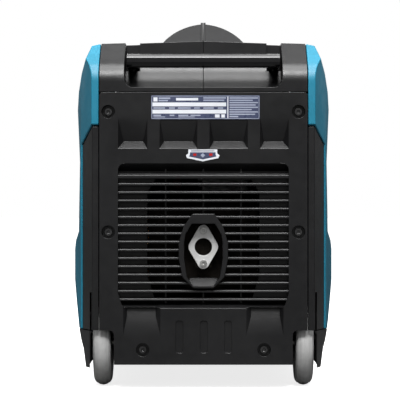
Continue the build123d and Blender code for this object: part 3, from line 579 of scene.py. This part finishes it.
def make_panel_print():
    """Printed outlines, dial marks and short caption bars on the control panel."""
    low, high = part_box("control_panel")
    face, base = high[1] / MM, low[2] / MM
    ink = (face - PRINT_SINK, face + PRINT_HIGH)
    work = bmesh.new()
    frames = (((-146, -74), (172, 244)), ((-34, 146), (40, 112)),
              ((-34, 146), (118, 246)), ((-146, -38), (12, 66)))
    for x, z in frames:
        frame_lines(work, x, (base + z[0], base + z[1]), ink)
    knob = middle("engine_switch") / MM
    for degrees in (-60, 0, 60):
        turn = math.radians(90 + degrees)
        x, z = knob.x + 25 * math.cos(turn), knob.z + 25 * math.sin(turn)
        slab(work, (x - 1.2, x + 1.2), ink, (z - 1.2, z + 1.2))
    captions = (("start_button", 18, 8), ("eco_switch", 13, 8), ("choke_knob", 17, 9), ("dc_outlet", 19, 9),
                ("earth_terminal", 13, 6), ("breaker_button_left", 12, 6), ("breaker_button_right", 12, 6))
    for node, drop, half in captions:
        spot = middle(node) / MM
        slab(work, (spot.x - half, spot.x + half), ink, (spot.z - drop - 1.6, spot.z - drop))
    place(to_mesh(work, "panel_print", False), "panel_print", "label_pale", "chassis")


def make_collars():
    """Threaded collars round the start button and the two breaker buttons."""
    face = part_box("control_panel")[1][1]
    ring_round("start_collar", "start_button", "y", face, (14.5, 10.03, 3.0, 0.5), "steel_zinc")
    for side in ("left", "right"):
        node = f"breaker_button_{side}"
        ring_round(f"breaker_collar_{side}", node, "y", face, (9.5, 6.03, 2.2, 0.5), "screw_black")


def make_lid_trim():
    """Raised ridge and finger tab on each socket lid."""
    for name, radius in (("left", 19), ("right", 19), ("main", 21)):
        node = f"socket_cover_{name}"
        ridge = (radius, radius - 2, 0.9, 0.3)
        ring_round(f"lid_ridge_{name}", node, "y", LID_FACE * MM, ridge, slot_of[node])
        x = (middle(node) / MM).x
        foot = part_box(node)[0][2] / MM
        work = bmesh.new()
        slab(work, (x - 9, x + 9), (LID_FACE - 1, LID_FACE + 1.6), (foot + 0.6, foot + 4.2))
        tab = place(to_mesh(work, f"lid_tab_{name}", False), f"lid_tab_{name}", slot_of[node], body_of[node])
        soften(tab, 0.6, 3)


def make_switch_pointer():
    """White line on the engine switch."""
    knob = middle("engine_switch") / MM
    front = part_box("engine_switch")[1][1] / MM
    work = bmesh.new()
    slab(work, (knob.x - 0.9, knob.x + 0.9), (front - 0.2, front + PRINT_HIGH), (knob.z + 2, knob.z + 15))
    place(to_mesh(work, "switch_pointer", False), "switch_pointer", "label_white", "engine_switch")


def make_choke_ribs():
    """Ribs round the choke knob's grip."""
    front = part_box("choke_knob")[1][1]
    centre = middle("choke_knob")
    work = bmesh.new()
    for k in range(20):
        turn = 2 * math.pi * k / 20
        x, z = centre.x + 10.9 * MM * math.cos(turn), centre.z + 10.9 * MM * math.sin(turn)
        wire(work, [Vector((x, y, z)) for y in (front - 9 * MM, front - 2 * MM)], 0.7 * MM)
    place(to_mesh(work, "choke_ribs"), "choke_ribs", "gloss_black", "choke_knob")


def make_liners():
    """Foam liners behind the air intake and the side vents, which also keep daylight out of the case."""
    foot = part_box("front_cover")[0][2] / MM
    work = bmesh.new()
    slab(work, (-141, 141), (296, 302), (foot + 28, foot + 180))
    liner = place(to_mesh(work, "intake_foam", False), "intake_foam", "foam", "chassis")
    soften(liner, 2, 3)
    for side, x in (("left", -VENT_FOAM_X), ("right", VENT_FOAM_X)):
        work = bmesh.new()
        slab(work, (x - 2, x + 2), (-243, -107), (132, 245))
        liner = place(to_mesh(work, f"vent_foam_{side}", False), f"vent_foam_{side}", "foam", "chassis")
        soften(liner, 1.5, 3)


# ---------------------------------------------------------------- top


def make_cap_trim():
    """Raised ring and groups of three grip ribs on the fuel cap."""
    low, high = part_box("fuel_cap")
    ring_round("cap_ring", "fuel_cap", "z", high[2], (25, 22.5, 0.8, 0.4), "black_plastic")
    centre = middle("fuel_cap")
    work = bmesh.new()
    for k in range(8):
        for offset in (-8, 0, 8):
            turn = math.radians(45 * k + 22.5 + offset)
            x, y = centre.x + 37.8 * MM * math.cos(turn), centre.y + 37.8 * MM * math.sin(turn)
            wire(work, [Vector((x, y, z)) for z in (low[2] + 2 * MM, low[2] + 19 * MM)], 0.8 * MM)
    place(to_mesh(work, "cap_ribs"), "cap_ribs", "black_plastic", "fuel_cap")


def make_vent_pointer():
    """White line on the vent knob."""
    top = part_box("vent_knob")[1][2] / MM
    knob = middle("vent_knob") / MM
    work = bmesh.new()
    slab(work, (knob.x - 0.8, knob.x + 0.8), (knob.y, knob.y + 7), (top - 0.2, top + PRINT_HIGH))
    place(to_mesh(work, "vent_pointer", False), "vent_pointer", "label_white", "vent_knob")


materials = make_materials()
dress_cad_nodes()
make_mouldings()
make_tyres()
make_labels()
make_screen()
make_display()
make_panel_print()
make_collars()
make_lid_trim()
make_switch_pointer()
make_choke_ribs()
make_liners()
make_cap_trim()
make_vent_pointer()


# ---------------------------------------------------------------- stage, light and camera


def area_light(name, spot, target, size, power):
    """Rectangular white light, of a power in watts, aimed at a point."""
    lamp = bpy.data.lights.new(name, "AREA")
    lamp.shape = "RECTANGLE"
    lamp.size, lamp.size_y = size
    lamp.energy = power
    holder = bpy.data.objects.new(name, lamp)
    holder.location = spot
    holder.rotation_euler = (Vector(target) - Vector(spot)).to_track_quat("-Z", "Y").to_euler()
    bpy.context.collection.objects.link(holder)


def make_stage():
    """Pale floor, white to the camera and darker to bounced light so that undersides stay dark."""
    bpy.ops.mesh.primitive_plane_add(size=60, location=(0, 0, 0))
    floor = bpy.context.object
    floor.name = "floor"
    made, tree, shader = new_material("floor_pale")
    seen = add_node(tree, "ShaderNodeLightPath").outputs["Is Camera Ray"]
    colour = blend_colour(tree, seen, (0.08, 0.08, 0.08), (0.93, 0.93, 0.93))
    tree.links.new(colour, shader.inputs["Base Color"])
    glow = spread(tree, seen, 0.0, 0.8, 0.0, 1.0)
    shader.inputs["Emission Color"].default_value = (1, 1, 1, 1)
    tree.links.new(glow, shader.inputs["Emission Strength"])
    shader.inputs["Roughness"].default_value = 0.8
    shader.inputs["Specular IOR Level"].default_value = 0.1
    floor.data.materials.append(made)


def sky_strength(tree):
    """Strength of the sky by direction: stronger overhead, weaker to the two sides."""
    way = add_node(tree, "ShaderNodeTexCoord")
    parts = add_node(tree, "ShaderNodeSeparateXYZ")
    tree.links.new(way.outputs["Generated"], parts.inputs["Vector"])
    aside = add_node(tree, "ShaderNodeMath", operation="ABSOLUTE")
    tree.links.new(parts.outputs["X"], aside.inputs[0])
    level = add_node(tree, "ShaderNodeMath", operation="MULTIPLY")
    tree.links.new(spread(tree, parts.outputs["Z"], SKY_LEVEL, SKY_TOP, 0.0, 1.0), level.inputs[0])
    tree.links.new(spread(tree, aside.outputs[0], 1.0, SKY_ASIDE, 0.25, 0.8), level.inputs[1])
    return level.outputs[0]


def make_world():
    """White backdrop to the camera, soft sky to everything else."""
    world = bpy.data.worlds.new("studio")
    bpy.context.scene.world = world
    world.use_nodes = True
    tree = world.node_tree
    backdrop = tree.nodes["Background"]
    backdrop.inputs["Color"].default_value = (1, 1, 1, 1)
    backdrop.inputs["Strength"].default_value = 1.0
    sky = add_node(tree, "ShaderNodeBackground", {"Color": (1, 1, 1, 1)})
    tree.links.new(sky_strength(tree), sky.inputs["Strength"])
    path = add_node(tree, "ShaderNodeLightPath")
    mix = add_node(tree, "ShaderNodeMixShader")
    tree.links.new(path.outputs["Is Camera Ray"], mix.inputs["Fac"])
    tree.links.new(sky.outputs["Background"], mix.inputs[1])
    tree.links.new(backdrop.outputs["Background"], mix.inputs[2])
    tree.links.new(mix.outputs["Shader"], tree.nodes["World Output"].inputs["Surface"])


def make_lights():
    """Softboxes overhead, at the two sides, over the camera and before the control end."""
    area_light("top_softbox", (0, -0.68, 2.2), (0, -0.35, 0.4), (2.2, 1.1), 54)
    area_light("left_softbox", (-2.2, -1.6, 1.4), (0, 0, 0.35), (1.0, 1.6), 2)
    area_light("right_softbox", (2.2, -1.6, 1.4), (0, 0, 0.35), (1.0, 1.6), 2)
    area_light("key_softbox", (0, -2.6, 3.0), (0, -0.3, 0.4), (1.6, 1.0), 120)
    area_light("front_softbox", (0, 2.4, 1.5), (0, 0.3, 0.35), (1.6, 1.2), 30)


def make_camera():
    """Level camera square to the exhaust end, with a long lens."""
    eye = bpy.data.cameras.new("camera")
    eye.lens = LENS
    eye.sensor_width = 36
    holder = bpy.data.objects.new("camera", eye)
    holder.location = (CAMERA_X, REAR - CAMERA_AWAY, CAMERA_Z)
    holder.rotation_euler = (math.radians(90), 0, 0)
    bpy.context.collection.objects.link(holder)
    bpy.context.scene.camera = holder


make_stage()
make_world()
make_lights()
make_camera()
bpy.context.scene.view_settings.view_transform = "Standard"

bpy.context.view_layer.update()
